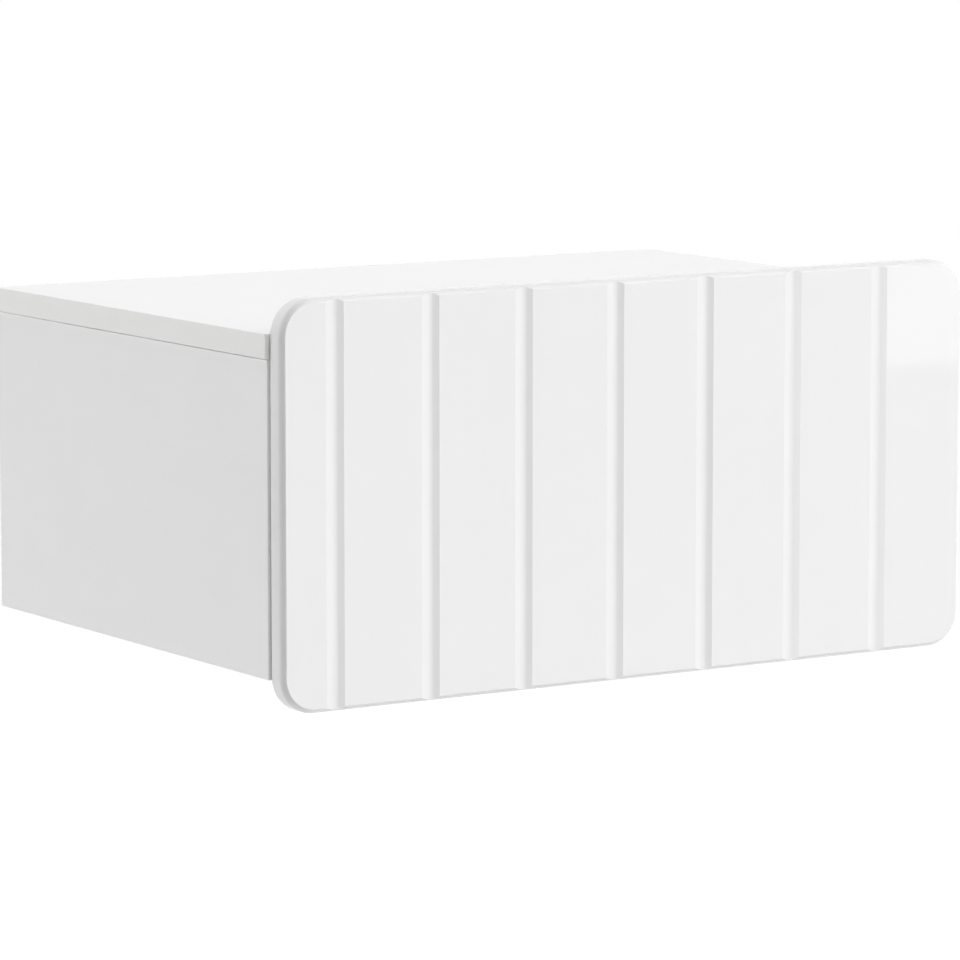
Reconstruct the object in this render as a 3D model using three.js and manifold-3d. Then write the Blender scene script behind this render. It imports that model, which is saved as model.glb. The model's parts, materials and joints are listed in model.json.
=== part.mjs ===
// Floating nightstand: a wall-hung cabinet with one drawer on ball-bearing runners.
// Millimetres. +Z is up, +X is to the right seen from the front, and the front faces -Y.
// The origin lies on the wall plane, in the middle of the top panel's rear edge.

import * as THREE from "three";
import { mergeVertices } from "three/addons/utils/BufferGeometryUtils.js";
import Module from "manifold-3d";

const wasm = await Module();
wasm.setup();

const degree = Math.PI / 180;
const quarterTurn = Math.PI / 2;

// Overall sizes
const frontWidth = 600;
const frontHeight = 296;
const carcassDepth = 407;
const boardThickness = 18;
const frontRise = 25; // the front stands this far above the top surface
const frontDrop = 24; // and hangs this far below the sides
const frontGap = 1.5; // between the closed front and the cabinet
const topBeyondFront = 3; // the top is wider than the front, on each side
const topBeyondSide = 1.5; // the top overhangs each side panel
const seamChamfer = 1.2; // along each side panel's upper outer edge, a shadow line under the top

// Drawer front
const frontThickness = 16;
const frontCornerRadius = 27;
const frontEdgeRadius = 6.5; // arc from the edge towards the face
const frontEdgeTurn = 60 * degree; // less than a quarter turn, so it meets the face at an arris
const frontRearEdgeRadius = 0.8; // eased rear arris
const cornerSteps = 8;
const edgeSteps = 5;
const rearEdgeSteps = 2;
const grooveWidth = 15;
const grooveWallAngle = 18 * degree;
const grooveBottomRadius = 10;
const grooveBottomSteps = 3;
const groovePitch = 79.6;
const grooveFromRightEdge = 78.7; // middle of the first groove
const grooveLeastMargin = 20; // least flat left beside the last groove

// Back panel in its grooves, and the rail behind it
const backThickness = 3;
const backInset = 18; // rear face of the back panel from the wall
const backGrooveDepth = 8;
const sheetSlack = 0.2; // beside each face of a sheet in its groove
const sheetEndSlack = 0.5; // between a sheet's edge and its groove's floor
const rearRailHeight = 70;
const rearRailThickness = 16;
const rearRailHoleRadius = 3;
const rearRailHoleFromEnd = 90;

// Fittings in the boards
const fitGap = 0.3; // round pins and cams in their bores
const boreEndGap = 0.5;
const camRadius = 7.5;
const camDepth = 12.5;
const camFromEnd = 34; // cam's middle from the board's end
const camSlotLength = 7;
const camSlotWidth = 1.4;
const camSlotDepth = 1.6;
const camSides = 16;
const boltThreadRadius = 3;
const boltThreadLength = 11;
const boltShankRadius = 3.5;
const boltNeckRadius = 2;
const boltNeckLength = 3.2;
const boltHeadRadius = 3.4;
const boltHeadLength = 2.8;
const boltChamfer = 0.6;
const boltSides = 8;
const dowelRadius = 4;
const dowelLength = 30;
const dowelChamfer = 1;
const dowelSides = 10;
const holeSides = 10;
const jointFromFront = 50; // first cam from the front edge
const jointFromBack = 45; // last cam from the back panel
const overrun = 2; // cutters pass a face by this much
const samePoint = 0.0001; // points of a path nearer than this are one

// Cabinet hangers and their wall plates
const hangerHeight = 58;
const hangerDepth = 32;
const hangerWidth = 17;
const hangerWall = 1.6;
const hangerBelowTop = 4;
const hangerScrewHoleRadius = 3.4;
const hangerScrewHoleSpacing = 26;
const hookSheet = 2;
const hookWidth = 12;
const hookBendRadius = 2.4;
const hookArmBelowHangerTop = 16;
const hookLegBehindFace = 14; // leg inside the housing, from its front
const hookLegLength = 34;
const hookLipFromWall = 3.6;
const hookLipLength = 11;
const plateSheet = 2;
const plateWidth = 50;
const plateHeight = 62;
const plateFlangeHeight = 15;
const plateFlangeFromWall = 6.4;
const plateSlope = 4;
const plateHoleRadius = 4;
const plateHoleSpacing = 26;
const plateFromSide = 2;
const backNotchWidth = 20;
const backNotchHeight = 34;

// Ball-bearing runner, sizes across its section
const runnerStep = 50; // stock runners come in these steps of length
const runnerSetback = 1.5; // front end behind the cabinet's front edge
const runnerRearRoom = 2; // least room between the drawer and the hangers
const runnerHeight = 45;
const runnerThickness = 12.7;
const runnerSheet = 1.2;
const runnerBend = 2; // middle line of a bend
const ballRadius = 2;
const ballPlay = 0.15;
const ballRadialSides = 6;
const ballRings = 4;
const ballSpacing = 26; // least spacing along a row
const cageSheet = 0.5;
const cageEndRoom = 15; // a cage is this much shorter than half a runner
const cageBend = 1;
const cageGap = 0.3; // each side of a cage's web
const outerRowDepth = 5.2; // ball centres from the cabinet's side panel
const innerRowDepth = 9;
const lipAngle = 20 * degree; // where a raceway's lip ends, above its ball's middle
const drawerLipAngle = 50 * degree;
const cageBeyondBall = 1.2;
const bendSteps = 2; // half as many as the flats in each bend
const seatGap = 0.15; // runner to the boards it is screwed to
const runnerHoleRadius = 2.3;
const runnerHoleFromEnd = 37;
const runnerSlotLength = 9;
const runnerHoleSides = 8;
const pilotRadius = 1.6; // for the runners' screws, in the boards behind them
const pilotDepth = 11;
const pilotSides = 6;

// Release lever on each drawer member
const leverLength = 62;
const leverThickness = 3;
const leverHeight = 7;
const leverPadDrop = 3.5;
const leverPadLength = 16;
const leverFromRear = 96;
const leverPivotRadius = 2;

// Drawer box
const drawerBoard = 16;
const drawerHeadroom = 39; // above the drawer box, under the top panel
const drawerLift = 22; // lower edge above the cabinet's bottom panel
const runnerAxisHeight = 55; // above the drawer's lower edge
const bottomSheet = 3;
const bottomLift = 12; // groove above the lower edge
const bottomGrooveDepth = 6;
const drawerCamFromEdge = 32; // cams below the top edge and above the lower edge
const bumperRadius = 4;
const bumperThickness = 1.2;
const bumperBelowTop = 30;
const bumperSides = 12;

// Worked-out planes
const topSurface = boardThickness / 2;
const topUnder = topSurface - boardThickness;
const topWidth = frontWidth + 2 * topBeyondFront;
const sideOuter = topWidth / 2 - topBeyondSide;
const sideInner = sideOuter - boardThickness;
const sideMiddle = (sideOuter + sideInner) / 2;
const frontTop = topSurface + frontRise;
const frontBottom = frontTop - frontHeight;
const carcassBottom = frontBottom + frontDrop;
const floorTop = carcassBottom + boardThickness;
const floorMiddle = (carcassBottom + floorTop) / 2;
const cabinetFront = -carcassDepth;
const frontRear = cabinetFront - frontGap;
const frontFace = frontRear - frontThickness;
const backRear = -backInset;
const backFront = backRear - backThickness;
const hangerFront = backFront - fitGap - hangerDepth;
const runnerFront = cabinetFront + runnerSetback;
const runnerRoom = hangerFront - runnerRearRoom - runnerFront;
const runnerLength = Math.floor(runnerRoom / runnerStep) * runnerStep;
const runnerRear = runnerFront + runnerLength;
const drawerMemberHoles = [runnerHoleFromEnd, runnerLength - runnerHoleFromEnd]; // from the rear end
const cabinetMemberHoles = [...drawerMemberHoles, runnerLength / 2];
const cageLength = runnerLength / 2 - cageEndRoom;
const ballsInRow = Math.floor(cageLength / ballSpacing);
const drawerOuter = sideInner - runnerThickness - 2 * seatGap;
const drawerInner = drawerOuter - drawerBoard;
const drawerMiddle = (drawerOuter + drawerInner) / 2;
const drawerLow = floorTop + drawerLift;
const drawerTop = topUnder - drawerHeadroom;
const drawerFloorUnder = drawerLow + bottomLift;
const drawerFloorTop = drawerFloorUnder + bottomSheet;
const runnerAxis = drawerLow + runnerAxisHeight;
const hangerTop = topUnder - hangerBelowTop;
const hookMiddle = sideInner - hangerWidth / 2;
const hookArm = hangerTop - hookArmBelowHangerTop;

// Finishes
const melamine = { color: 0xf2f2f1, roughness: 0.42, metalness: 0 };
const glossLacquer = { color: 0xf6f6f6, roughness: 0.08, metalness: 0 };
const paintedFibreboard = { color: 0xeeeeec, roughness: 0.55, metalness: 0 };
const zincSteel = { color: 0xc3c6c8, roughness: 0.32, metalness: 1 };
const dieCastZinc = { color: 0xa9abac, roughness: 0.45, metalness: 1 };
const beech = { color: 0xd3ab78, roughness: 0.7, metalness: 0 };
const whitePlastic = { color: 0xf0f0ee, roughness: 0.4, metalness: 0 };
const blackPlastic = { color: 0x1b1b1d, roughness: 0.45, metalness: 0 };
const clearSilicone = { color: 0xe4e6e6, roughness: 0.3, metalness: 0 };

// Turn a three.js geometry into a solid that can be cut, and back
function solid(geometry) {
  const bare = geometry.clone();
  bare.deleteAttribute("normal");
  bare.deleteAttribute("uv");
  const merged = mergeVertices(bare);
  return new wasm.Manifold(new wasm.Mesh({
    numProp: 3,
    vertProperties: new Float32Array(merged.attributes.position.array),
    triVerts: new Uint32Array(merged.index.array),
  }));
}

function geometryOf(body) {
  const mesh = body.getMesh();
  const geometry = new THREE.BufferGeometry();
  geometry.setAttribute("position", new THREE.BufferAttribute(mesh.vertProperties, 3));
  geometry.setIndex(new THREE.BufferAttribute(mesh.triVerts, 1));
  geometry.computeVertexNormals();
  return geometry;
}

function cut(body, cutters) {
  return cutters.reduce((rest, cutter) => rest.subtract(solid(cutter)), solid(body));
}

// A block between two corners
function block(low, high) {
  const size = high.map((value, i) => value - low[i]);
  const middle = high.map((value, i) => (value + low[i]) / 2);
  return new THREE.BoxGeometry(...size).translate(...middle);
}

// Turn a shape whose axis is +Y so that it runs along a given direction from a start
function aim(geometry, start, direction) {
  const up = new THREE.Vector3(0, 1, 0);
  geometry.applyQuaternion(new THREE.Quaternion().setFromUnitVectors(up, direction));
  return geometry.translate(start.x, start.y, start.z);
}

// A round bar from a start along a direction
function bar(radius, length, sides, start, direction) {
  const straight = new THREE.CylinderGeometry(radius, radius, length, sides);
  return aim(straight.translate(0, length / 2, 0), start, direction);
}

// A turned piece: pairs of radius and distance along its axis
function turned(profile, sides, start, direction) {
  const points = profile.map(([radius, along]) => new THREE.Vector2(radius, along));
  return aim(new THREE.LatheGeometry(points, sides), start, direction);
}

// Extrude an outline in the XY plane towards +Z
function extrude(outline, length) {
  const straight = { depth: length, bevelEnabled: false, steps: 1 };
  return new THREE.ExtrudeGeometry(new THREE.Shape(outline), straight);
}

// Extrude an outline in the XZ plane towards -Y
function extrudeToFront(outline, length) {
  return extrude(outline, length).rotateX(Math.PI / 2);
}

// Extrude an outline in the YZ plane towards +X, centred on x = 0
function extrudeAcross(outline, width) {
  return extrude(outline, width).rotateX(Math.PI / 2).rotateZ(Math.PI / 2).translate(-width / 2, 0, 0);
}

// Points of a path of lines and arcs, without doubles
function pathPoints(path) {
  const points = path.getPoints(bendSteps);
  return points.filter((point, i) => i === 0 || point.distanceTo(points[i - 1]) > samePoint);
}

// Outline of a sheet of even thickness that follows a middle line
function sheetOutline(line, thickness) {
  const sides = { left: [], right: [] };
  line.forEach((point, i) => {
    const before = point.clone().sub(line[Math.max(i - 1, 0)]).normalize();
    const after = line[Math.min(i + 1, line.length - 1)].clone().sub(point).normalize();
    const along = before.clone().add(after).normalize();
    const steady = Math.max(along.dot(before), along.dot(after));
    const normal = new THREE.Vector2(-along.y, along.x).multiplyScalar(thickness / 2 / steady);
    sides.left.push(point.clone().add(normal));
    sides.right.push(point.clone().sub(normal));
  });
  return [...sides.right, ...sides.left.reverse()];
}

// A middle line given above z = 0, mirrored below it
function mirroredLine(upper) {
  const above = upper.filter((point) => point.y > 0);
  const below = above.map((point) => new THREE.Vector2(point.x, -point.y));
  return [...below.reverse(), ...above];
}

// A block that runs between two places across, in either order
function blockAcross(xs, low, high) {
  return block([Math.min(...xs), ...low], [Math.max(...xs), ...high]);
}

const nightstand = new THREE.Group();
nightstand.name = "floating_nightstand";
const carcass = new THREE.Group();
const drawer = new THREE.Group();
nightstand.add(carcass, drawer);

// Add a piece modelled in its group's frame, with its own origin moved to its home point
function addPart(group, name, finish, body, home) {
  const geometry = body.isBufferGeometry ? geometryOf(solid(body)) : geometryOf(body);
  geometry.translate(-home.x, -home.y, -home.z);
  const mesh = new THREE.Mesh(geometry, new THREE.MeshStandardMaterial(finish));
  mesh.name = name;
  mesh.position.copy(home);
  group.add(mesh);
}

const along = {
  right: new THREE.Vector3(1, 0, 0),
  left: new THREE.Vector3(-1, 0, 0),
  back: new THREE.Vector3(0, 1, 0),
  front: new THREE.Vector3(0, -1, 0),
  up: new THREE.Vector3(0, 0, 1),
  down: new THREE.Vector3(0, 0, -1),
};
const hands = [
  { word: "left", sign: -1, outward: along.left, inward: along.right },
  { word: "right", sign: 1, outward: along.right, inward: along.left },
];

// Cam joints. A bolt is screwed into one board at its foot, runs along its direction into
// the end of the other board, and is gripped there by a cam let in from that board's face.
const boltReach = camFromEnd + boltHeadLength / 2;

function camBolt(foot, direction) {
  const neckStart = boltReach - boltHeadLength - boltNeckLength;
  const headStart = boltReach - boltHeadLength;
  const start = foot.clone().addScaledVector(direction, -boltThreadLength);
  const profile = [
    [0, 0],
    [boltThreadRadius - boltChamfer, 0],
    [boltThreadRadius, boltChamfer],
    [boltThreadRadius, boltThreadLength + boltChamfer],
    [boltShankRadius, boltThreadLength + 2 * boltChamfer],
    [boltShankRadius, boltThreadLength + neckStart],
    [boltNeckRadius, boltThreadLength + neckStart + boltChamfer],
    [boltNeckRadius, boltThreadLength + headStart],
    [boltHeadRadius, boltThreadLength + headStart + boltChamfer],
    [boltHeadRadius, boltThreadLength + boltReach - boltChamfer],
    [0, boltThreadLength + boltReach],
  ];
  return turned(profile, boltSides, start, direction);
}

// The cam's middle lies on its board's face; it is let in along the direction given
function camBody(middle, into, boltDirection, boltFoot) {
  const round = bar(camRadius, camDepth, camSides, middle, into);
  const boltRoom = boltHeadRadius + fitGap;
  const boltBore = bar(boltRoom, boltReach + boreEndGap, boltSides, boltFoot, boltDirection);
  const across = boltDirection.clone().cross(into);
  const slots = [boltDirection, across].map((length) => {
    const side = length.clone().cross(into);
    const half = new THREE.Vector3()
      .addScaledVector(length, camSlotLength / 2)
      .addScaledVector(side, camSlotWidth / 2);
    const reach = new THREE.Vector3(Math.abs(half.x), Math.abs(half.y), Math.abs(half.z));
    const outside = middle.clone().addScaledVector(into, -overrun);
    const inside = middle.clone().addScaledVector(into, camSlotDepth);
    const low = outside.clone().min(inside).sub(reach);
    const high = outside.clone().max(inside).add(reach);
    return block(low.toArray(), high.toArray());
  });
  return cut(round, [boltBore, ...slots]);
}

// The holes for one joint: in the board that holds the cam, and in the board that holds the bolt
function camBoardCutters(joint) {
  const start = joint.cam.clone().addScaledVector(joint.into, -overrun);
  const camBore = bar(camRadius + fitGap, camDepth + boreEndGap + overrun, camSides, start, joint.into);
  const mouth = joint.foot.clone().addScaledVector(joint.direction, -overrun);
  const boltBore = bar(boltShankRadius + fitGap, camFromEnd + overrun, boltSides, mouth, joint.direction);
  return [camBore, boltBore];
}

function boltBoardCutter(joint) {
  const start = joint.foot.clone().addScaledVector(joint.direction, -boltThreadLength - boreEndGap);
  const length = boltThreadLength + boreEndGap + overrun;
  return bar(boltThreadRadius + fitGap, length, boltSides, start, joint.direction);
}

function addCamJoint(group, word, joint) {
  const bolt = camBolt(joint.foot, joint.direction);
  const cam = camBody(joint.cam, joint.into, joint.direction, joint.foot);
  addPart(group, `cam_bolt_${word}`, zincSteel, bolt, joint.foot);
  addPart(group, `cam_${word}`, dieCastZinc, cam, joint.cam);
}

// Dowels lie half in each board
function dowelBody(middle, direction) {
  const start = middle.clone().addScaledVector(direction, -dowelLength / 2);
  const profile = [
    [0, 0],
    [dowelRadius - dowelChamfer, 0],
    [dowelRadius, dowelChamfer],
    [dowelRadius, dowelLength - dowelChamfer],
    [dowelRadius - dowelChamfer, dowelLength],
    [0, dowelLength],
  ];
  return turned(profile, dowelSides, start, direction);
}

function dowelCutter(middle, direction) {
  const length = dowelLength + 2 * boreEndGap;
  const start = middle.clone().addScaledVector(direction, -length / 2);
  return bar(dowelRadius + fitGap, length, dowelSides, start, direction);
}

// Places of the cam joints and dowels along the depth
const jointPlaces = {
  front: cabinetFront + jointFromFront,
  rear: backFront - jointFromBack,
};
const dowelPlace = (jointPlaces.front + jointPlaces.rear) / 2;

function carcassJoints(hand) {
  const joints = { top: [], bottom: [] };
  for (const [place, y] of Object.entries(jointPlaces)) {
    joints.top.push({
      word: `top_${hand.word}_${place}`,
      foot: new THREE.Vector3(hand.sign * sideMiddle, y, topUnder),
      direction: along.down,
      cam: new THREE.Vector3(hand.sign * sideInner, y, topUnder - camFromEnd),
      into: hand.outward,
    });
    joints.bottom.push({
      word: `bottom_${hand.word}_${place}`,
      foot: new THREE.Vector3(hand.sign * sideInner, y, floorMiddle),
      direction: hand.inward,
      cam: new THREE.Vector3(hand.sign * (sideInner - camFromEnd), y, carcassBottom),
      into: along.up,
    });
  }
  return joints;
}

const topDowel = (hand) => new THREE.Vector3(hand.sign * sideMiddle, dowelPlace, topUnder);
const bottomDowel = (hand) => new THREE.Vector3(hand.sign * sideInner, dowelPlace, floorMiddle);

// Groove for the back panel between two places across and two heights
function backGroove(xs, low, high) {
  return blockAcross(xs, [backFront - sheetSlack, low], [backRear + sheetSlack, high]);
}

// Top panel
function topPanel() {
  const half = topWidth / 2;
  const board = block([-half, cabinetFront, topUnder], [half, 0, topSurface]);
  const reach = sideInner + backGrooveDepth;
  const groove = backGroove([-reach, reach], topUnder - overrun, topUnder + backGrooveDepth);
  const bores = hands.flatMap((hand) => [
    ...carcassJoints(hand).top.map(boltBoardCutter),
    dowelCutter(topDowel(hand), along.up),
  ]);
  return cut(board, [groove, ...bores]);
}

// Blind hole for a runner's screw, from a board's face beside the runner
function pilotHole(x, fromRunnerRear, into) {
  const start = new THREE.Vector3(x, runnerRear - fromRunnerRear, runnerAxis);
  start.addScaledVector(into, -overrun);
  return bar(pilotRadius, pilotDepth + overrun, pilotSides, start, into);
}

// A board's section with its upper corner on the given side chamfered, pushed back from the front
function chamferedBoard(inner, outer, low, high) {
  const inward = Math.sign(inner - outer);
  const outline = [
    new THREE.Vector2(inner, low),
    new THREE.Vector2(outer, low),
    new THREE.Vector2(outer, high - seamChamfer),
    new THREE.Vector2(outer + inward * seamChamfer, high),
    new THREE.Vector2(inner, high),
  ];
  return extrudeToFront(outline, carcassDepth);
}

// Side panel, grooved over its whole height on its inner face
function sidePanel(hand) {
  const inner = hand.sign * sideInner;
  const board = chamferedBoard(inner, hand.sign * sideOuter, carcassBottom, topUnder);
  const grooveXs = [hand.sign * (sideInner - overrun), hand.sign * (sideInner + backGrooveDepth)];
  const groove = backGroove(grooveXs, carcassBottom - overrun, topUnder + overrun);
  const joints = carcassJoints(hand);
  return cut(board, [
    groove,
    ...joints.top.flatMap(camBoardCutters),
    ...joints.bottom.map(boltBoardCutter),
    dowelCutter(topDowel(hand), along.up),
    dowelCutter(bottomDowel(hand), along.right),
    ...cabinetMemberHoles.map((place) => pilotHole(inner, place, hand.outward)),
  ]);
}

// Bottom panel between the sides
function bottomPanel() {
  const board = block([-sideInner, cabinetFront, carcassBottom], [sideInner, 0, floorTop]);
  const reach = sideInner + overrun;
  const groove = backGroove([-reach, reach], floorTop - backGrooveDepth, floorTop + overrun);
  const bores = hands.flatMap((hand) => [
    ...carcassJoints(hand).bottom.flatMap(camBoardCutters),
    dowelCutter(bottomDowel(hand), along.right),
  ]);
  return cut(board, [groove, ...bores]);
}

// Back panel, notched at its upper corners for the hangers' hooks
function backPanel() {
  const reach = sideInner + backGrooveDepth - sheetEndSlack;
  const low = floorTop - backGrooveDepth + sheetEndSlack;
  const high = topUnder + backGrooveDepth - sheetEndSlack;
  const sheet = block([-reach, backFront, low], [reach, backRear, high]);
  const notches = hands.map((hand) => {
    const xs = [hand.sign * (sideInner - backNotchWidth), hand.sign * (reach + overrun)];
    const notchFoot = topUnder - backNotchHeight;
    return blockAcross(xs, [backFront - overrun, notchFoot], [backRear + overrun, high + overrun]);
  });
  return cut(sheet, notches);
}

// Rail that bears on the wall behind the back panel, drilled for the securing screws
function rearRail() {
  const board = block(
    [-sideInner, -rearRailThickness, floorTop],
    [sideInner, 0, floorTop + rearRailHeight],
  );
  const holes = hands.map((hand) => {
    const x = hand.sign * (sideInner - rearRailHoleFromEnd);
    const start = new THREE.Vector3(x, -rearRailThickness - overrun, floorTop + rearRailHeight / 2);
    return bar(rearRailHoleRadius, rearRailThickness + 2 * overrun, holeSides, start, along.back);
  });
  return cut(board, holes);
}

const boardHome = (x, z) => new THREE.Vector3(x, cabinetFront, z);
addPart(carcass, "top_panel", melamine, topPanel(), boardHome(0, topUnder));
addPart(carcass, "bottom_panel", melamine, bottomPanel(), boardHome(0, carcassBottom));
addPart(carcass, "back_panel", paintedFibreboard, backPanel(), new THREE.Vector3(0, backRear, floorTop));
addPart(carcass, "rear_rail", melamine, rearRail(), new THREE.Vector3(0, 0, floorTop));
for (const hand of hands) {
  const home = boardHome(hand.sign * sideInner, carcassBottom);
  addPart(carcass, `${hand.word}_side_panel`, melamine, sidePanel(hand), home);
  const joints = carcassJoints(hand);
  for (const joint of [...joints.top, ...joints.bottom]) {
    addCamJoint(carcass, joint.word, joint);
  }
  const upper = topDowel(hand);
  const lower = bottomDowel(hand);
  addPart(carcass, `dowel_top_${hand.word}`, beech, dowelBody(upper, along.up), upper);
  addPart(carcass, `dowel_bottom_${hand.word}`, beech, dowelBody(lower, along.right), lower);
}

// Cabinet hangers: an open-backed housing, a bent hook in it, and the plate on the wall
function hangerHousing() {
  const half = hangerWidth / 2;
  const rear = hangerDepth;
  const shell = block([-half, 0, -hangerHeight], [half, rear, 0]);
  const room = block(
    [hangerWall - half, hangerWall, hangerWall - hangerHeight],
    [half - hangerWall, rear + overrun, -hangerWall],
  );
  const holes = [-1, 1].map((sign) => {
    const z = -hangerHeight / 2 + (sign * hangerScrewHoleSpacing) / 2;
    const start = new THREE.Vector3(0, -overrun, z);
    return bar(hangerScrewHoleRadius, hangerWall + 2 * overrun, holeSides, start, along.back);
  });
  return cut(shell, [room, ...holes]);
}

// The hook's leg stands in the housing, its arm runs back over the plate, and its lip drops behind
function hangerHook() {
  const leg = hangerFront + hookLegBehindFace;
  const lip = -hookLipFromWall;
  const radius = hookBendRadius;
  const line = new THREE.Path();
  line.moveTo(leg, hookArm - hookLegLength);
  line.lineTo(leg, hookArm - radius);
  line.absarc(leg + radius, hookArm - radius, radius, Math.PI, quarterTurn, true);
  line.absarc(lip - radius, hookArm - radius, radius, quarterTurn, 0, true);
  line.lineTo(lip, hookArm - hookLipLength);
  return extrudeAcross(sheetOutline(pathPoints(line), hookSheet), hookWidth);
}

// The plate's flange stands off the wall, so that the hook's lip drops behind it
function wallPlate(hand) {
  const top = hookArm - hookSheet / 2 - fitGap;
  const flangeFoot = top - plateFlangeHeight;
  const low = top - plateHeight;
  const line = [
    new THREE.Vector2(-plateSheet / 2, low),
    new THREE.Vector2(-plateSheet / 2, flangeFoot - plateSlope),
    new THREE.Vector2(-plateFlangeFromWall, flangeFoot),
    new THREE.Vector2(-plateFlangeFromWall, top),
  ];
  const middle = hand.sign * (sideInner - plateFromSide - plateWidth / 2);
  const sheet = extrudeAcross(sheetOutline(line, plateSheet), plateWidth).translate(middle, 0, 0);
  const holeHeight = (low + flangeFoot - plateSlope) / 2;
  const holes = [-1, 1].map((sign) => {
    const x = middle + (sign * plateHoleSpacing) / 2;
    const start = new THREE.Vector3(x, -plateSheet - overrun, holeHeight);
    return bar(plateHoleRadius, plateSheet + 2 * overrun, holeSides, start, along.back);
  });
  return cut(sheet, holes);
}

for (const hand of hands) {
  const hanger = new THREE.Group();
  hanger.position.set(hand.sign * hookMiddle, hangerFront, hangerTop);
  carcass.add(hanger);
  const housingHome = new THREE.Vector3();
  addPart(hanger, `hanger_housing_${hand.word}`, whitePlastic, hangerHousing(), housingHome);
  const hook = hangerHook().translate(hand.sign * hookMiddle, 0, 0);
  const hookHome = new THREE.Vector3(hand.sign * hookMiddle, -hookLipFromWall, hookArm);
  addPart(carcass, `hanger_hook_${hand.word}`, zincSteel, hook, hookHome);
  const plateHome = new THREE.Vector3(hand.sign * hookMiddle, 0, hookArm);
  addPart(carcass, `wall_plate_${hand.word}`, zincSteel, wallPlate(hand), plateHome);
}

// Runner sections. Each half section is drawn for the right-hand runner: x runs from the side
// panel at 0 to the drawer at -runnerThickness, and z up from the runner's axis.
const raceway = ballRadius + ballPlay + runnerSheet / 2; // ball's middle to a sheet's middle line
const outerBall = new THREE.Vector2(-outerRowDepth, runnerHeight / 2 - runnerSheet / 2 - raceway);
const rowsApart = innerRowDepth - outerRowDepth;
const rowsDrop = Math.sqrt((2 * raceway) ** 2 - rowsApart ** 2); // the two raceways meet in an S
const innerBall = new THREE.Vector2(-innerRowDepth, outerBall.y - rowsDrop);
const rowsAngle = Math.atan2(rowsDrop, rowsApart);
const outerWeb = -runnerSheet / 2;
const outerCageWeb = -runnerSheet - cageGap - cageSheet / 2;
const middleWeb = outerCageWeb - cageSheet / 2 - cageGap - runnerSheet / 2;
const innerCageWeb = middleWeb - runnerSheet / 2 - cageGap - cageSheet / 2;
const drawerWeb = -runnerThickness + runnerSheet / 2;

// Web, bend, flange over the outer balls, and a lip round them
function cabinetMemberLine() {
  const top = outerBall.y + raceway;
  const line = new THREE.Path();
  line.moveTo(outerWeb, 0);
  line.lineTo(outerWeb, top - runnerBend);
  line.absarc(outerWeb - runnerBend, top - runnerBend, runnerBend, 0, quarterTurn, false);
  line.absarc(outerBall.x, outerBall.y, raceway, quarterTurn, Math.PI - lipAngle, false);
  return pathPoints(line);
}

// Web, bend, then an S: under the outer balls and over the inner balls
function middleMemberLine() {
  const shelf = outerBall.y - raceway;
  const line = new THREE.Path();
  line.moveTo(middleWeb, 0);
  line.lineTo(middleWeb, shelf - runnerBend);
  line.absarc(middleWeb - runnerBend, shelf - runnerBend, runnerBend, 0, quarterTurn, false);
  line.absarc(outerBall.x, outerBall.y, raceway, -quarterTurn, rowsAngle - Math.PI, true);
  line.absarc(innerBall.x, innerBall.y, raceway, rowsAngle, Math.PI - lipAngle, false);
  return pathPoints(line);
}

// Web on the drawer's side, bend, and a flange that cradles the inner balls
function drawerMemberLine() {
  const shelf = innerBall.y - raceway;
  const line = new THREE.Path();
  line.moveTo(drawerWeb, 0);
  line.lineTo(drawerWeb, shelf - runnerBend);
  line.absarc(drawerWeb + runnerBend, shelf - runnerBend, runnerBend, Math.PI, quarterTurn, true);
  line.absarc(innerBall.x, innerBall.y, raceway, -quarterTurn, drawerLipAngle - quarterTurn, false);
  return pathPoints(line);
}

// A cage's web runs beside the members' webs and its flanges pass through the balls' middles
function cageLine(web, ball) {
  const line = new THREE.Path();
  line.moveTo(web, 0);
  line.lineTo(web, ball.y - cageBend);
  line.absarc(web - cageBend, ball.y - cageBend, cageBend, 0, quarterTurn, false);
  line.lineTo(ball.x - cageBeyondBall, ball.y);
  return pathPoints(line);
}

function member(line) {
  return extrudeToFront(sheetOutline(mirroredLine(line), runnerSheet), runnerLength);
}

// Fixing holes through a web, at distances from the rear end
function webHoles(web, places) {
  return places.map((y) => {
    const start = new THREE.Vector3(web + runnerSheet, -y, 0);
    return bar(runnerHoleRadius, 2 * runnerSheet, runnerHoleSides, start, along.left);
  });
}

// A slot through a web, long along the runner or upright
function webSlot(web, y, upright) {
  const half = (runnerSlotLength - 2 * runnerHoleRadius) / 2;
  const shift = upright ? new THREE.Vector3(0, 0, half) : new THREE.Vector3(0, half, 0);
  const middle = new THREE.Vector3(web + runnerSheet, -y, 0);
  const ends = [-1, 1].map((sign) => {
    const start = middle.clone().addScaledVector(shift, sign);
    return solid(bar(runnerHoleRadius, 2 * runnerSheet, runnerHoleSides, start, along.left));
  });
  const wide = upright ? runnerHoleRadius : half;
  const high = upright ? half : runnerHoleRadius;
  const waist = block([web - runnerSheet, -y - wide, -high], [web + runnerSheet, -y + wide, high]);
  return ends[0].add(ends[1]).add(solid(waist));
}

function cabinetMember() {
  const section = cut(member(cabinetMemberLine()), webHoles(outerWeb, cabinetMemberHoles));
  const upright = webSlot(outerWeb, 2 * runnerHoleFromEnd, true);
  const level = webSlot(outerWeb, runnerLength - 2 * runnerHoleFromEnd, false);
  return section.subtract(upright).subtract(level);
}

function middleMember() {
  const places = [runnerLength / 2];
  return cut(member(middleMemberLine()), webHoles(middleWeb, places));
}

function drawerMember() {
  const slot = webSlot(drawerWeb, runnerLength / 2, true);
  return cut(member(drawerMemberLine()), webHoles(drawerWeb, drawerMemberHoles)).subtract(slot);
}

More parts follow.
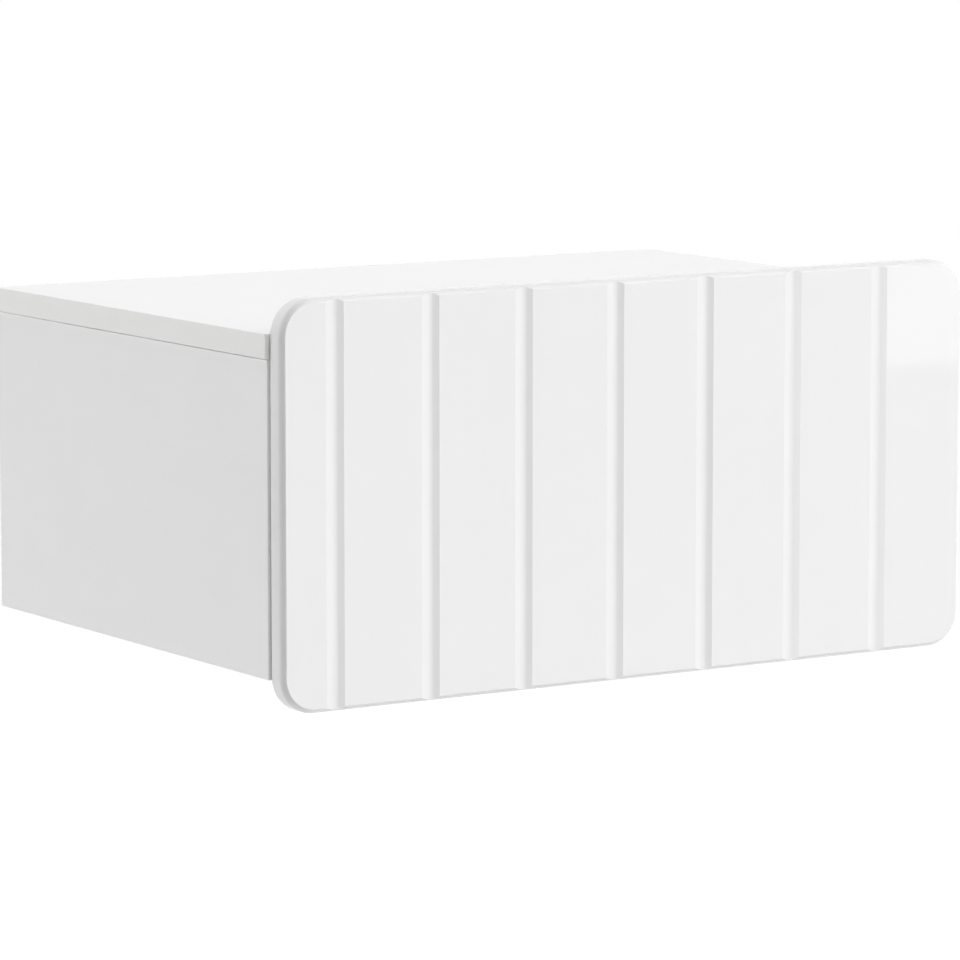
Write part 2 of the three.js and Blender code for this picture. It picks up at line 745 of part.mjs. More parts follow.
// A cage with its two rows of balls
function ballCage(web, ball) {
  const outline = sheetOutline(mirroredLine(cageLine(web, ball)), cageSheet);
  const pitch = cageLength / ballsInRow;
  let cage = solid(extrudeToFront(outline, cageLength));
  for (let i = 0; i < ballsInRow; i += 1) {
    for (const sign of [-1, 1]) {
      const place = [ball.x, -(i + 1 / 2) * pitch, sign * ball.y];
      const round = new THREE.SphereGeometry(ballRadius, ballRadialSides, ballRings);
      cage = cage.add(solid(round.translate(...place)));
    }
  }
  return cage;
}

// Lever that frees the drawer member: a flat arm with a pivot hole and a thumb pad
function releaseLever() {
  const half = leverHeight / 2;
  const outline = new THREE.Shape();
  outline.moveTo(0, -half);
  outline.lineTo(leverLength - half, -half);
  outline.absarc(leverLength - half, 0, half, -quarterTurn, quarterTurn, false);
  outline.lineTo(leverPadLength, half);
  outline.lineTo(0, half - leverPadDrop);
  const points = outline.getPoints(bendSteps);
  const arm = extrudeAcross(points, leverThickness);
  const start = new THREE.Vector3(-leverThickness, leverLength - half, 0);
  const pivot = bar(leverPivotRadius, 2 * leverThickness, runnerHoleSides, start, along.right);
  return cut(arm, [pivot]);
}

// Cages sit so that at full travel they still lie inside both members they carry
const cageRear = (runnerLength - cageLength) / 2;

for (const hand of hands) {
  const runner = new THREE.Group();
  runner.position.set(hand.sign * (sideInner - seatGap), runnerRear, runnerAxis);
  runner.rotation.y = hand.sign < 0 ? Math.PI : 0; // one runner serves both hands, turned over
  nightstand.add(runner);
  const rear = new THREE.Vector3();
  addPart(runner, `runner_cabinet_member_${hand.word}`, zincSteel, cabinetMember(), rear);
  addPart(runner, `runner_middle_member_${hand.word}`, zincSteel, middleMember(), rear);
  addPart(runner, `runner_drawer_member_${hand.word}`, zincSteel, drawerMember(), rear);
  const cages = { outer: ballCage(outerCageWeb, outerBall), inner: ballCage(innerCageWeb, innerBall) };
  for (const [word, cage] of Object.entries(cages)) {
    const place = new THREE.Group();
    place.position.y = -cageRear;
    runner.add(place);
    addPart(place, `${word}_ball_cage_${hand.word}`, zincSteel, cage, rear);
  }
  const leverPlace = new THREE.Group();
  const leverDepth = drawerWeb + runnerSheet / 2 + seatGap + leverThickness / 2;
  leverPlace.position.set(leverDepth, -leverFromRear - leverLength, 0);
  runner.add(leverPlace);
  addPart(leverPlace, `release_lever_${hand.word}`, blackPlastic, releaseLever(), rear);
}

// Drawer front. Rings of one rounded rectangle, set in and moved back, make the eased slab.
function roundedRing(inset, y) {
  const radius = frontCornerRadius - inset;
  const x = frontWidth / 2 - frontCornerRadius;
  const low = frontBottom + frontCornerRadius;
  const high = frontTop - frontCornerRadius;
  const corners = [[x, low, -1], [x, high, 0], [-x, high, 1], [-x, low, 2]];
  return corners.flatMap(([cx, cz, turn]) => {
    const points = [];
    for (let i = 0; i <= cornerSteps; i += 1) {
      const angle = (turn + i / cornerSteps) * quarterTurn;
      points.push([cx + radius * Math.cos(angle), y, cz + radius * Math.sin(angle)]);
    }
    return points;
  });
}

function loft(rings) {
  const count = rings[0].length;
  const positions = rings.flat(2);
  const triangles = [];
  for (let ring = 0; ring + 1 < rings.length; ring += 1) {
    for (let i = 0; i < count; i += 1) {
      const a = ring * count + i;
      const b = ring * count + ((i + 1) % count);
      triangles.push(a, b + count, b, a, a + count, b + count);
    }
  }
  const last = (rings.length - 1) * count;
  for (let i = 1; i + 1 < count; i += 1) {
    triangles.push(0, i, i + 1, last, last + i + 1, last + i);
  }
  const geometry = new THREE.BufferGeometry();
  geometry.setAttribute("position", new THREE.Float32BufferAttribute(positions, 3));
  geometry.setIndex(triangles);
  return geometry;
}

// Rounded edge from the face, where the ring is set in, round to the edge's side. A turn of
// less than a quarter leaves an arris along the face.
function edgeRings(radius, turn, steps, y, sign) {
  const first = quarterTurn - turn;
  const rings = [];
  for (let i = 0; i <= steps; i += 1) {
    const angle = first + (i / steps) * turn;
    const back = radius * (Math.cos(first) - Math.cos(angle));
    rings.push(roundedRing(radius * (1 - Math.sin(angle)), y + sign * back));
  }
  return rings;
}

// One V-groove with a round bottom, as a cutter that runs the whole height
function grooveCutter(x) {
  const slope = Math.tan(grooveWallAngle);
  const bottomHalf = grooveBottomRadius * Math.sin(grooveWallAngle);
  const wallDepth = (grooveWidth / 2 - bottomHalf) * slope;
  const bottomMiddle = wallDepth - grooveBottomRadius * Math.cos(grooveWallAngle);
  const points = [];
  for (let i = -grooveBottomSteps; i <= grooveBottomSteps; i += 1) {
    const angle = (i / grooveBottomSteps) * grooveWallAngle;
    const depth = bottomMiddle + grooveBottomRadius * Math.cos(angle);
    points.push(new THREE.Vector2(grooveBottomRadius * Math.sin(angle), depth));
  }
  const mouth = grooveWidth / 2 + overrun / slope;
  const outline = [new THREE.Vector2(-mouth, -overrun), ...points, new THREE.Vector2(mouth, -overrun)];
  const cutter = extrude(outline.reverse(), frontHeight + 2 * overrun);
  return cutter.translate(x, frontFace, frontBottom - overrun);
}

function drawerFront() {
  const rings = [
    ...edgeRings(frontEdgeRadius, frontEdgeTurn, edgeSteps, frontFace, 1),
    ...edgeRings(frontRearEdgeRadius, quarterTurn, rearEdgeSteps, frontRear, -1).reverse(),
  ];
  const room = frontWidth - grooveFromRightEdge - grooveLeastMargin;
  const grooveCount = Math.floor(room / groovePitch) + 1;
  const grooves = [];
  for (let i = 0; i < grooveCount; i += 1) {
    grooves.push(grooveCutter(frontWidth / 2 - grooveFromRightEdge - i * groovePitch));
  }
  const reach = drawerInner + bottomGrooveDepth;
  const bottomGroove = block(
    [-reach, frontRear - bottomGrooveDepth, drawerFloorUnder - sheetSlack],
    [reach, frontRear + overrun, drawerFloorTop + sheetSlack],
  );
  const bores = hands.flatMap((hand) => drawerJoints(hand).map(boltBoardCutter));
  return cut(loft(rings), [...grooves, bottomGroove, ...bores]);
}

// Two cam joints hold each drawer side to the front
function drawerJoints(hand) {
  const places = { upper: drawerTop - drawerCamFromEdge, lower: drawerLow + drawerCamFromEdge };
  return Object.entries(places).map(([place, z]) => ({
    word: `front_${hand.word}_${place}`,
    foot: new THREE.Vector3(hand.sign * drawerMiddle, frontRear, z),
    direction: along.back,
    cam: new THREE.Vector3(hand.sign * drawerInner, frontRear + camFromEnd, z),
    into: hand.outward,
  }));
}

function drawerSide(hand) {
  const xs = [hand.sign * drawerInner, hand.sign * drawerOuter];
  const board = blockAcross(xs, [frontRear, drawerLow], [runnerRear, drawerTop]);
  const groove = blockAcross(
    [hand.sign * (drawerInner - overrun), hand.sign * (drawerInner + bottomGrooveDepth)],
    [frontRear - overrun, drawerFloorUnder - sheetSlack],
    [runnerRear + overrun, drawerFloorTop + sheetSlack],
  );
  const outer = hand.sign * drawerOuter;
  const pilots = drawerMemberHoles.map((place) => pilotHole(outer, place, hand.inward));
  return cut(board, [groove, ...drawerJoints(hand).flatMap(camBoardCutters), ...pilots]);
}

// The back stands on the drawer's bottom sheet, which runs under it
function drawerBack() {
  return block(
    [-drawerInner, runnerRear - drawerBoard, drawerFloorTop],
    [drawerInner, runnerRear, drawerTop],
  );
}

function drawerBottom() {
  const reach = drawerInner + bottomGrooveDepth - sheetEndSlack;
  const front = frontRear - bottomGrooveDepth + sheetEndSlack;
  return block(
    [-reach, front, drawerFloorUnder],
    [reach, runnerRear - sheetEndSlack, drawerFloorTop],
  );
}

const drawerHome = (x, z) => new THREE.Vector3(x, frontRear, z);
addPart(drawer, "drawer_front", glossLacquer, drawerFront(), drawerHome(0, frontBottom));
addPart(drawer, "drawer_back", melamine, drawerBack(), new THREE.Vector3(0, runnerRear, drawerLow));
addPart(drawer, "drawer_bottom", paintedFibreboard, drawerBottom(), drawerHome(0, drawerFloorUnder));
for (const hand of hands) {
  const home = drawerHome(hand.sign * drawerInner, drawerLow);
  addPart(drawer, `drawer_side_${hand.word}`, melamine, drawerSide(hand), home);
  for (const joint of drawerJoints(hand)) {
    addCamJoint(drawer, joint.word, joint);
  }
  const dot = new THREE.Vector3(hand.sign * sideMiddle, frontRear, topUnder - bumperBelowTop);
  const bumper = bar(bumperRadius, bumperThickness, bumperSides, dot, along.back);
  addPart(drawer, `bumper_${hand.word}`, clearSilicone, bumper, dot);
}

export default nightstand;
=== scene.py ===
# Floating nightstand: satin white boards, a grooved high-gloss drawer front, ball-bearing runners
import json
import math

import bmesh
import bpy
from mathutils import Matrix, Vector

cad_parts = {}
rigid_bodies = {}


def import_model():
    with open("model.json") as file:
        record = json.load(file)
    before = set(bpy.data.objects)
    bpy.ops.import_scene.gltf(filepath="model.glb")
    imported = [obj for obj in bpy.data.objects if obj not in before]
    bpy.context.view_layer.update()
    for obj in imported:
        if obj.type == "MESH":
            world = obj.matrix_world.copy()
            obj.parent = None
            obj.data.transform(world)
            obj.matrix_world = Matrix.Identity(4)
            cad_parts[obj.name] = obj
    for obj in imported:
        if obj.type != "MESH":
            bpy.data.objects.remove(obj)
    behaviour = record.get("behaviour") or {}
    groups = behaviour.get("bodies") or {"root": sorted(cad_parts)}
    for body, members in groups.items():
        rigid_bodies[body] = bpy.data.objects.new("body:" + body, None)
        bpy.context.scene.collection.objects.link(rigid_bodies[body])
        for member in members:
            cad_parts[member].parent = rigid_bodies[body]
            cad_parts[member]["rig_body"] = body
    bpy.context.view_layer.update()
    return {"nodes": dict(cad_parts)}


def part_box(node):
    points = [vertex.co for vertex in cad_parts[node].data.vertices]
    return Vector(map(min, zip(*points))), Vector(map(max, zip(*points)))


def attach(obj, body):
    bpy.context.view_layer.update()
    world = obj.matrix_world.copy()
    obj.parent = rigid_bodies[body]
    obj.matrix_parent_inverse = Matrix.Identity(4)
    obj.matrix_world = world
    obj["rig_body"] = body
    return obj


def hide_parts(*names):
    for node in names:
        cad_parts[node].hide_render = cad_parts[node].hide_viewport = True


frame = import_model()
nodes = frame["nodes"]
scene = bpy.context.scene
scene.view_settings.view_transform = "Standard"
mm = 0.001  # lengths in the settings are millimetres, except the camera's
hands = {"left": -1, "right": 1}
print("frame loaded:", len(nodes), "nodes")


# Camera: a long lens to the left of the front, a little above the top
cameraSettings = {
    "place": (-2.1999, -3.6554, 0.4056),  # metres
    "turnDegrees": (82.423, 0, -32.585),
    "lens": 201.7,  # on the usual 36 mm sensor
    "clip": (0.05, 100),
}


def addCamera(settings):
    data = bpy.data.cameras.new("camera")
    data.lens = settings["lens"]
    data.clip_start, data.clip_end = settings["clip"]
    camera = bpy.data.objects.new("camera", data)
    camera.location = settings["place"]
    camera.rotation_euler = [math.radians(turn) for turn in settings["turnDegrees"]]
    scene.collection.objects.link(camera)
    scene.camera = camera


addCamera(cameraSettings)
print("camera placed")


# Nodes and colours
def linear(hexColour):
    channels = [int(hexColour[i:i + 2], 16) / 255 for i in (0, 2, 4)]
    lin = [c / 12.92 if c <= 0.04045 else ((c + 0.055) / 1.055) ** 2.4 for c in channels]
    return (*lin, 1)


def addNode(tree, kind, settings=None, inputs=None, stops=()):
    node = tree.nodes.new(kind)
    for name, value in (settings or {}).items():
        setattr(node, name, value)
    for name, value in (inputs or {}).items():
        if isinstance(value, bpy.types.Node):  # a whole node stands for its first output
            value = value.outputs[0]
        if isinstance(value, bpy.types.NodeSocket):
            tree.links.new(value, node.inputs[name])
        else:
            node.inputs[name].default_value = value
    for _ in stops[2:]:  # a colour ramp comes with two stops
        node.color_ramp.elements.new(0.5)
    for i, (position, colour) in enumerate(stops):
        node.color_ramp.elements[i].position = position
        node.color_ramp.elements[i].color = linear(colour)
    return node


def newMaterial(name):
    material = bpy.data.materials.new(name)
    material.use_nodes = True
    tree = material.node_tree
    tree.nodes.clear()
    return material, tree


def perMillimetre(size):  # texture scale for a pattern that repeats every size millimetres
    return 1 / (size * mm)


# High-gloss lacquer on MDF, sprayed and polished: a deep even white with near-mirror reflections,
# and the faint orange peel that sprayed lacquer keeps
def lacquerMaterial():
    material, tree = newMaterial("high_gloss_lacquered_mdf")
    place = addNode(tree, "ShaderNodeTexCoord").outputs["Object"]
    clouds = addNode(tree, "ShaderNodeTexNoise", {}, {"Vector": place, "Scale": perMillimetre(180)})
    white = addNode(tree, "ShaderNodeValToRGB", {}, {"Fac": clouds}, [(0.3, "e9e9e9"), (0.7, "eaeaea")])
    ripple = addNode(tree, "ShaderNodeTexNoise", {}, {"Vector": place, "Scale": perMillimetre(3.5)})
    peel = addNode(tree, "ShaderNodeBump", {}, {
        "Height": ripple, "Distance": 0.002 * mm, "Strength": 0.4,
    })
    shader = addNode(tree, "ShaderNodeBsdfPrincipled", {}, {
        "Base Color": white, "Roughness": 0.4, "IOR": 1.5, "Specular IOR Level": 0.0,
        "Coat Weight": 1.0, "Coat Roughness": 0.03, "Coat IOR": 1.5, "Coat Normal": peel,
    })
    addNode(tree, "ShaderNodeOutputMaterial", {}, {"Surface": shader})
    return material


# Melamine paper pressed on particle board: satin white with a fine pearl grain in the press plate's finish
def melamineMaterial():
    material, tree = newMaterial("satin_melamine_board")
    place = addNode(tree, "ShaderNodeTexCoord").outputs["Object"]
    clouds = addNode(tree, "ShaderNodeTexNoise", {}, {"Vector": place, "Scale": perMillimetre(60)})
    paper = addNode(tree, "ShaderNodeValToRGB", {}, {"Fac": clouds}, [(0.3, "f2f2f2"), (0.7, "f3f3f3")])
    pearl = addNode(tree, "ShaderNodeTexNoise", {}, {
        "Vector": place, "Scale": perMillimetre(0.9), "Detail": 3,
    })
    satin = addNode(tree, "ShaderNodeMapRange", {}, {"Value": pearl, "To Min": 0.34, "To Max": 0.46})
    relief = addNode(tree, "ShaderNodeBump", {}, {
        "Height": pearl, "Distance": 0.004 * mm, "Strength": 0.3,
    })
    shader = addNode(tree, "ShaderNodeBsdfPrincipled", {}, {
        "Base Color": paper, "Roughness": satin, "IOR": 1.5, "Normal": relief,
    })
    addNode(tree, "ShaderNodeOutputMaterial", {}, {"Surface": shader})
    return material


# ABS edge tape, extruded and buffed: a shade glossier than the board's faces, with faint drawn lines
def edgeTapeMaterial():
    material, tree = newMaterial("abs_edge_tape")
    place = addNode(tree, "ShaderNodeTexCoord").outputs["Object"]
    drawnOut = addNode(tree, "ShaderNodeMapping", {}, {"Vector": place, "Scale": (0.02, 0.02, 1)})
    lines = addNode(tree, "ShaderNodeTexNoise", {}, {"Vector": drawnOut, "Scale": perMillimetre(0.6)})
    white = addNode(tree, "ShaderNodeValToRGB", {}, {"Fac": lines}, [(0.3, "f1f1f0"), (0.7, "f3f3f2")])
    buffed = addNode(tree, "ShaderNodeMapRange", {}, {"Value": lines, "To Min": 0.28, "To Max": 0.34})
    relief = addNode(tree, "ShaderNodeBump", {}, {
        "Height": lines, "Distance": 0.002 * mm, "Strength": 0.3,
    })
    shader = addNode(tree, "ShaderNodeBsdfPrincipled", {}, {
        "Base Color": white, "Roughness": buffed, "IOR": 1.53, "Normal": relief,
    })
    addNode(tree, "ShaderNodeOutputMaterial", {}, {"Surface": shader})
    return material


# Raw particle board where no paper or tape covers it: pressed straw-coloured chips, open and dull
def chipboardMaterial():
    material, tree = newMaterial("raw_particle_board")
    place = addNode(tree, "ShaderNodeTexCoord").outputs["Object"]
    pressed = addNode(tree, "ShaderNodeMapping", {}, {"Vector": place, "Scale": (1, 1, 2.5)})
    chips = addNode(tree, "ShaderNodeTexVoronoi", {}, {
        "Vector": pressed, "Scale": perMillimetre(2.4), "Randomness": 1.0,
    })
    shade = addNode(tree, "ShaderNodeRGBToBW", {}, {"Color": chips.outputs["Color"]})
    straw = addNode(tree, "ShaderNodeValToRGB", {}, {"Fac": shade}, [
        (0.2, "a68a62"), (0.5, "cbb288"), (0.8, "ddc9a4"),
    ])
    dust = addNode(tree, "ShaderNodeTexNoise", {}, {
        "Vector": place, "Scale": perMillimetre(0.7), "Detail": 4,
    })
    gaps = addNode(tree, "ShaderNodeValToRGB", {}, {"Fac": dust}, [(0.3, "b99b72"), (0.7, "fff6e6")])
    colour = addNode(tree, "ShaderNodeMix", {"data_type": "RGBA", "blend_type": "MULTIPLY"}, {
        "Factor": 0.45, "A": straw, "B": gaps,
    })
    relief = addNode(tree, "ShaderNodeBump", {}, {
        "Height": dust, "Distance": 0.25 * mm, "Strength": 0.8,
    })
    shader = addNode(tree, "ShaderNodeBsdfPrincipled", {}, {
        "Base Color": colour.outputs["Result"], "Roughness": 0.85, "IOR": 1.45, "Normal": relief,
    })
    addNode(tree, "ShaderNodeOutputMaterial", {}, {"Surface": shader})
    return material


# Thin hardboard, roller-painted on one face and bare on the other: a matt white with a light mottle,
# and brown pressed fibre on the bare face
def hardboardMaterial(name, paintedSide):
    material, tree = newMaterial(name)
    surface = addNode(tree, "ShaderNodeTexCoord").outputs
    fibre = addNode(tree, "ShaderNodeTexNoise", {}, {
        "Vector": surface["Object"], "Scale": perMillimetre(1.6), "Detail": 5, "Roughness": 0.65,
    })
    brown = addNode(tree, "ShaderNodeValToRGB", {}, {"Fac": fibre}, [
        (0.3, "6f5236"), (0.55, "8d6d4b"), (0.75, "a3835f"),
    ])
    mottle = addNode(tree, "ShaderNodeTexNoise", {}, {
        "Vector": surface["Object"], "Scale": perMillimetre(25), "Detail": 3,
    })
    paint = addNode(tree, "ShaderNodeValToRGB", {}, {"Fac": mottle}, [(0.3, "ebebe9"), (0.7, "efefed")])
    facing = addNode(tree, "ShaderNodeVectorMath", {"operation": "DOT_PRODUCT"}, {
        0: surface["Normal"], 1: paintedSide,
    })
    painted = addNode(tree, "ShaderNodeMath", {"operation": "GREATER_THAN"}, {
        0: facing.outputs["Value"], 1: 0.5,
    })
    colour = addNode(tree, "ShaderNodeMix", {"data_type": "RGBA"}, {
        "Factor": painted, "A": brown, "B": paint,
    })
    rough = addNode(tree, "ShaderNodeMix", {}, {"Factor": painted, "A": 0.8, "B": 0.5})
    relief = addNode(tree, "ShaderNodeBump", {}, {
        "Height": fibre, "Distance": 0.05 * mm, "Strength": 0.5,
    })
    shader = addNode(tree, "ShaderNodeBsdfPrincipled", {}, {
        "Base Color": colour.outputs["Result"], "Roughness": rough.outputs["Result"], "IOR": 1.47,
        "Normal": relief,
    })
    addNode(tree, "ShaderNodeOutputMaterial", {}, {"Surface": shader})
    return material


# Cold-rolled steel, bright zinc plated: silvery with a bluish cast, drawn out along the rolling direction
def zincSteelMaterial():
    material, tree = newMaterial("zinc_plated_steel")
    place = addNode(tree, "ShaderNodeTexCoord").outputs["Object"]
    spangle = addNode(tree, "ShaderNodeTexNoise", {}, {"Vector": place, "Scale": perMillimetre(14)})
    silver = addNode(tree, "ShaderNodeValToRGB", {}, {"Fac": spangle}, [(0.3, "babfc3"), (0.7, "c5c9cb")])
    drawnOut = addNode(tree, "ShaderNodeMapping", {}, {"Vector": place, "Scale": (1, 0.02, 1)})
    rolling = addNode(tree, "ShaderNodeTexNoise", {}, {
        "Vector": drawnOut, "Scale": perMillimetre(0.5), "Detail": 3,
    })
    dulled = addNode(tree, "ShaderNodeMapRange", {}, {"Value": rolling, "To Min": 0.24, "To Max": 0.38})
    relief = addNode(tree, "ShaderNodeBump", {}, {
        "Height": rolling, "Distance": 0.006 * mm, "Strength": 0.4,
    })
    shader = addNode(tree, "ShaderNodeBsdfPrincipled", {}, {
        "Base Color": silver, "Metallic": 1.0, "Roughness": dulled, "Normal": relief,
    })
    addNode(tree, "ShaderNodeOutputMaterial", {}, {"Surface": shader})
    return material


# Polished bearing steel: small bright balls that mirror what is round them
def bearingSteelMaterial():
    material, tree = newMaterial("polished_bearing_steel")
    place = addNode(tree, "ShaderNodeTexCoord").outputs["Object"]
    film = addNode(tree, "ShaderNodeTexNoise", {}, {"Vector": place, "Scale": perMillimetre(1.2)})
    bright = addNode(tree, "ShaderNodeValToRGB", {}, {"Fac": film}, [(0.3, "cfcfce"), (0.7, "d8d8d6")])
    polish = addNode(tree, "ShaderNodeMapRange", {}, {"Value": film, "To Min": 0.08, "To Max": 0.16})
    shader = addNode(tree, "ShaderNodeBsdfPrincipled", {}, {
        "Base Color": bright, "Metallic": 1.0, "Roughness": polish,
    })
    addNode(tree, "ShaderNodeOutputMaterial", {}, {"Surface": shader})
    return material


# Die-cast zinc, tumbled: dull grey with a soft mottled skin
def castZincMaterial():
    material, tree = newMaterial("die_cast_zinc")
    place = addNode(tree, "ShaderNodeTexCoord").outputs["Object"]
    skin = addNode(tree, "ShaderNodeTexNoise", {}, {
        "Vector": place, "Scale": perMillimetre(1.1), "Detail": 4,
    })
    grey = addNode(tree, "ShaderNodeValToRGB", {}, {"Fac": skin}, [(0.3, "9fa2a4"), (0.7, "b3b5b6")])
    tumbled = addNode(tree, "ShaderNodeMapRange", {}, {"Value": skin, "To Min": 0.4, "To Max": 0.55})
    relief = addNode(tree, "ShaderNodeBump", {}, {
        "Height": skin, "Distance": 0.03 * mm, "Strength": 0.5,
    })
    shader = addNode(tree, "ShaderNodeBsdfPrincipled", {}, {
        "Base Color": grey, "Metallic": 1.0, "Roughness": tumbled, "Normal": relief,
    })
    addNode(tree, "ShaderNodeOutputMaterial", {}, {"Surface": shader})
    return material


# Beech dowel, turned and fluted: pinkish tan with short dark flecks along the grain
def beechMaterial():
    material, tree = newMaterial("turned_beech")
    place = addNode(tree, "ShaderNodeTexCoord").outputs["Object"]
    drawnOut = addNode(tree, "ShaderNodeMapping", {}, {"Vector": place, "Scale": (1, 1, 0.15)})
    grain = addNode(tree, "ShaderNodeTexNoise", {}, {
        "Vector": drawnOut, "Scale": perMillimetre(0.8), "Detail": 4,
    })
    tan = addNode(tree, "ShaderNodeValToRGB", {}, {"Fac": grain}, [
        (0.3, "b98d5f"), (0.6, "d9b287"), (0.8, "e3c39c"),
    ])
    relief = addNode(tree, "ShaderNodeBump", {}, {
        "Height": grain, "Distance": 0.05 * mm, "Strength": 0.5,
    })
    shader = addNode(tree, "ShaderNodeBsdfPrincipled", {}, {
        "Base Color": tan, "Roughness": 0.65, "IOR": 1.5, "Normal": relief,
    })
    addNode(tree, "ShaderNodeOutputMaterial", {}, {"Surface": shader})
    return material


# Injection-moulded plastic with a fine spark-eroded grain: soft sheen, no hard highlight
def mouldedPlasticMaterial(name, darker, lighter):
    material, tree = newMaterial(name)
    place = addNode(tree, "ShaderNodeTexCoord").outputs["Object"]
    grain = addNode(tree, "ShaderNodeTexNoise", {}, {
        "Vector": place, "Scale": perMillimetre(0.5), "Detail": 3,
    })
    colour = addNode(tree, "ShaderNodeValToRGB", {}, {"Fac": grain}, [(0.3, darker), (0.7, lighter)])
    sheen = addNode(tree, "ShaderNodeMapRange", {}, {"Value": grain, "To Min": 0.38, "To Max": 0.5})
    relief = addNode(tree, "ShaderNodeBump", {}, {
        "Height": grain, "Distance": 0.03 * mm, "Strength": 0.4,
    })
    shader = addNode(tree, "ShaderNodeBsdfPrincipled", {}, {
        "Base Color": colour, "Roughness": sheen, "IOR": 1.49, "Normal": relief,
    })
    addNode(tree, "ShaderNodeOutputMaterial", {}, {"Surface": shader})
    return material


# Silicone dot: milky and half clear, so it takes on the white of the board behind it
def siliconeMaterial():
    material, tree = newMaterial("milky_silicone")
    place = addNode(tree, "ShaderNodeTexCoord").outputs["Object"]
    haze = addNode(tree, "ShaderNodeTexNoise", {}, {"Vector": place, "Scale": perMillimetre(2)})
    milky = addNode(tree, "ShaderNodeValToRGB", {}, {"Fac": haze}, [(0.3, "e6eaea"), (0.7, "f0f3f3")])
    shader = addNode(tree, "ShaderNodeBsdfPrincipled", {}, {
        "Base Color": milky, "Roughness": 0.3, "IOR": 1.41, "Transmission Weight": 0.25,
    })
    addNode(tree, "ShaderNodeOutputMaterial", {}, {"Surface": shader})
    return material


finish = {
    "lacquer": lacquerMaterial(),
    "melamine": melamineMaterial(),
    "tape": edgeTapeMaterial(),
    "chipboard": chipboardMaterial(),
    "drawerFloor": hardboardMaterial("hardboard_painted_above", (0, 0, 1)),
    "backSheet": hardboardMaterial("hardboard_painted_in_front", (0, -1, 0)),
    "zincSteel": zincSteelMaterial(),
    "bearingSteel": bearingSteelMaterial(),
    "castZinc": castZincMaterial(),
    "beech": beechMaterial(),
    "whitePlastic": mouldedPlasticMaterial("moulded_white_plastic", "ecece9", "f1f1ee"),
    "blackPlastic": mouldedPlasticMaterial("moulded_black_plastic", "161617", "1e1e20"),
    "silicone": siliconeMaterial(),
}
print("materials made:", len(finish))


# Making pieces
meshSettings = {
    "weld": 0.001,  # points this near each other are one
    "flatDegrees": 0.5,  # faces that bend less than this are one
    "evenWeight": 100,  # lets the large flat faces decide the shading
}


def finishPiece(bm, name, body, materials, sharpDegrees):
    mesh = bpy.data.meshes.new(name)
    bm.to_mesh(mesh)
    bm.free()
    for material in materials:
        mesh.materials.append(material)
    mesh.shade_smooth()
    mesh.set_sharp_from_angle(angle=math.radians(sharpDegrees))
    piece = bpy.data.objects.new(name, mesh)
    scene.collection.objects.link(piece)
    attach(piece, body)
    return piece


def evenShading(piece):  # flat faces stay flat beside rounded edges
    even = piece.modifiers.new("even_shading", "WEIGHTED_NORMAL")
    even.keep_sharp = True
    even.weight = meshSettings["evenWeight"]


def mergedCopy(node):  # a frame piece as one welded shell with whole flat faces
    bm = bmesh.new()
    bm.from_mesh(nodes[node].data)
    bmesh.ops.remove_doubles(bm, verts=bm.verts, dist=meshSettings["weld"] * mm)
    flat = math.radians(meshSettings["flatDegrees"])
    bmesh.ops.dissolve_limit(bm, angle_limit=flat, verts=bm.verts, edges=bm.edges)
    return bm


def bodyOf(node):
    return nodes[node]["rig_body"]


def roundEdges(bm, edges, radius, steps):
    bmesh.ops.bevel(
        bm, geom=edges, offset=radius * mm, offset_type="OFFSET", segments=steps, profile=0.5,
        affect="EDGES", material=-1, clamp_overlap=True,
    )


# Boards: paper on the faces, tape on the edges that show, raw core in the cuts
boardSettings = {
    "arris": 0.6,  # rounding of the taped outer edges; a raw saw cut stays sharp
    "arrisSteps": 3,
    "reach": 0.01,  # a face this near the board's box lies on it
    "chamferReach": 1.3,  # and a chamfer lies this near two of its sides
    "sharpDegrees": 30,
    "tapedEdges": {
        "top_panel": "-x +x -y",
        "bottom_panel": "-y",
        "left_side_panel": "-y -z +z",
        "right_side_panel": "-y -z +z",
        "rear_rail": "+z",
        "drawer_side_left": "+z +y",
        "drawer_side_right": "+z +y",
        "drawer_back": "+z",
    },
}


def sidesOf(item, box, reach):  # the planes of the box that a face or edge lies on, such as "-x"
    found = set()
    for axis, word in enumerate("xyz"):
        for corner, sign in zip(box, "-+"):
            if all(abs(vert.co[axis] - corner[axis]) < reach for vert in item.verts):
                found.add(sign + word)
    return found


def board(node, tapedEdges, settings):
    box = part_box(node)
    reach = settings["reach"] * mm
    size = box[1] - box[0]
    thin = "xyz"[min(range(3), key=lambda axis: size[axis])]
    bm = mergedCopy(node)
    order = ["melamine", "tape", "chipboard"]
    for face in bm.faces:
        sides = sidesOf(face, box, reach)
        if any(side[1] == thin for side in sides):
            word = "melamine"
        elif sides & set(tapedEdges.split()) or len(sidesOf(face, box, settings["chamferReach"] * mm)) > 1:
            word = "tape"
        else:
            word = "chipboard"
        face.material_index = order.index(word)
    raw = order.index("chipboard")
    outer = [edge for edge in bm.edges if len(sidesOf(edge, box, reach)) > 1]
    buffed = [edge for edge in outer if all(face.material_index != raw for face in edge.link_faces)]
    roundEdges(bm, buffed, settings["arris"], settings["arrisSteps"])
    looks = [finish[word] for word in order]
    piece = finishPiece(
        bm, f"{node}_board", bodyOf(node), looks, settings["sharpDegrees"],
    )
    evenShading(piece)
    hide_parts(node)


for node, edges in boardSettings["tapedEdges"].items():
    board(node, edges, boardSettings)
print("boards made")


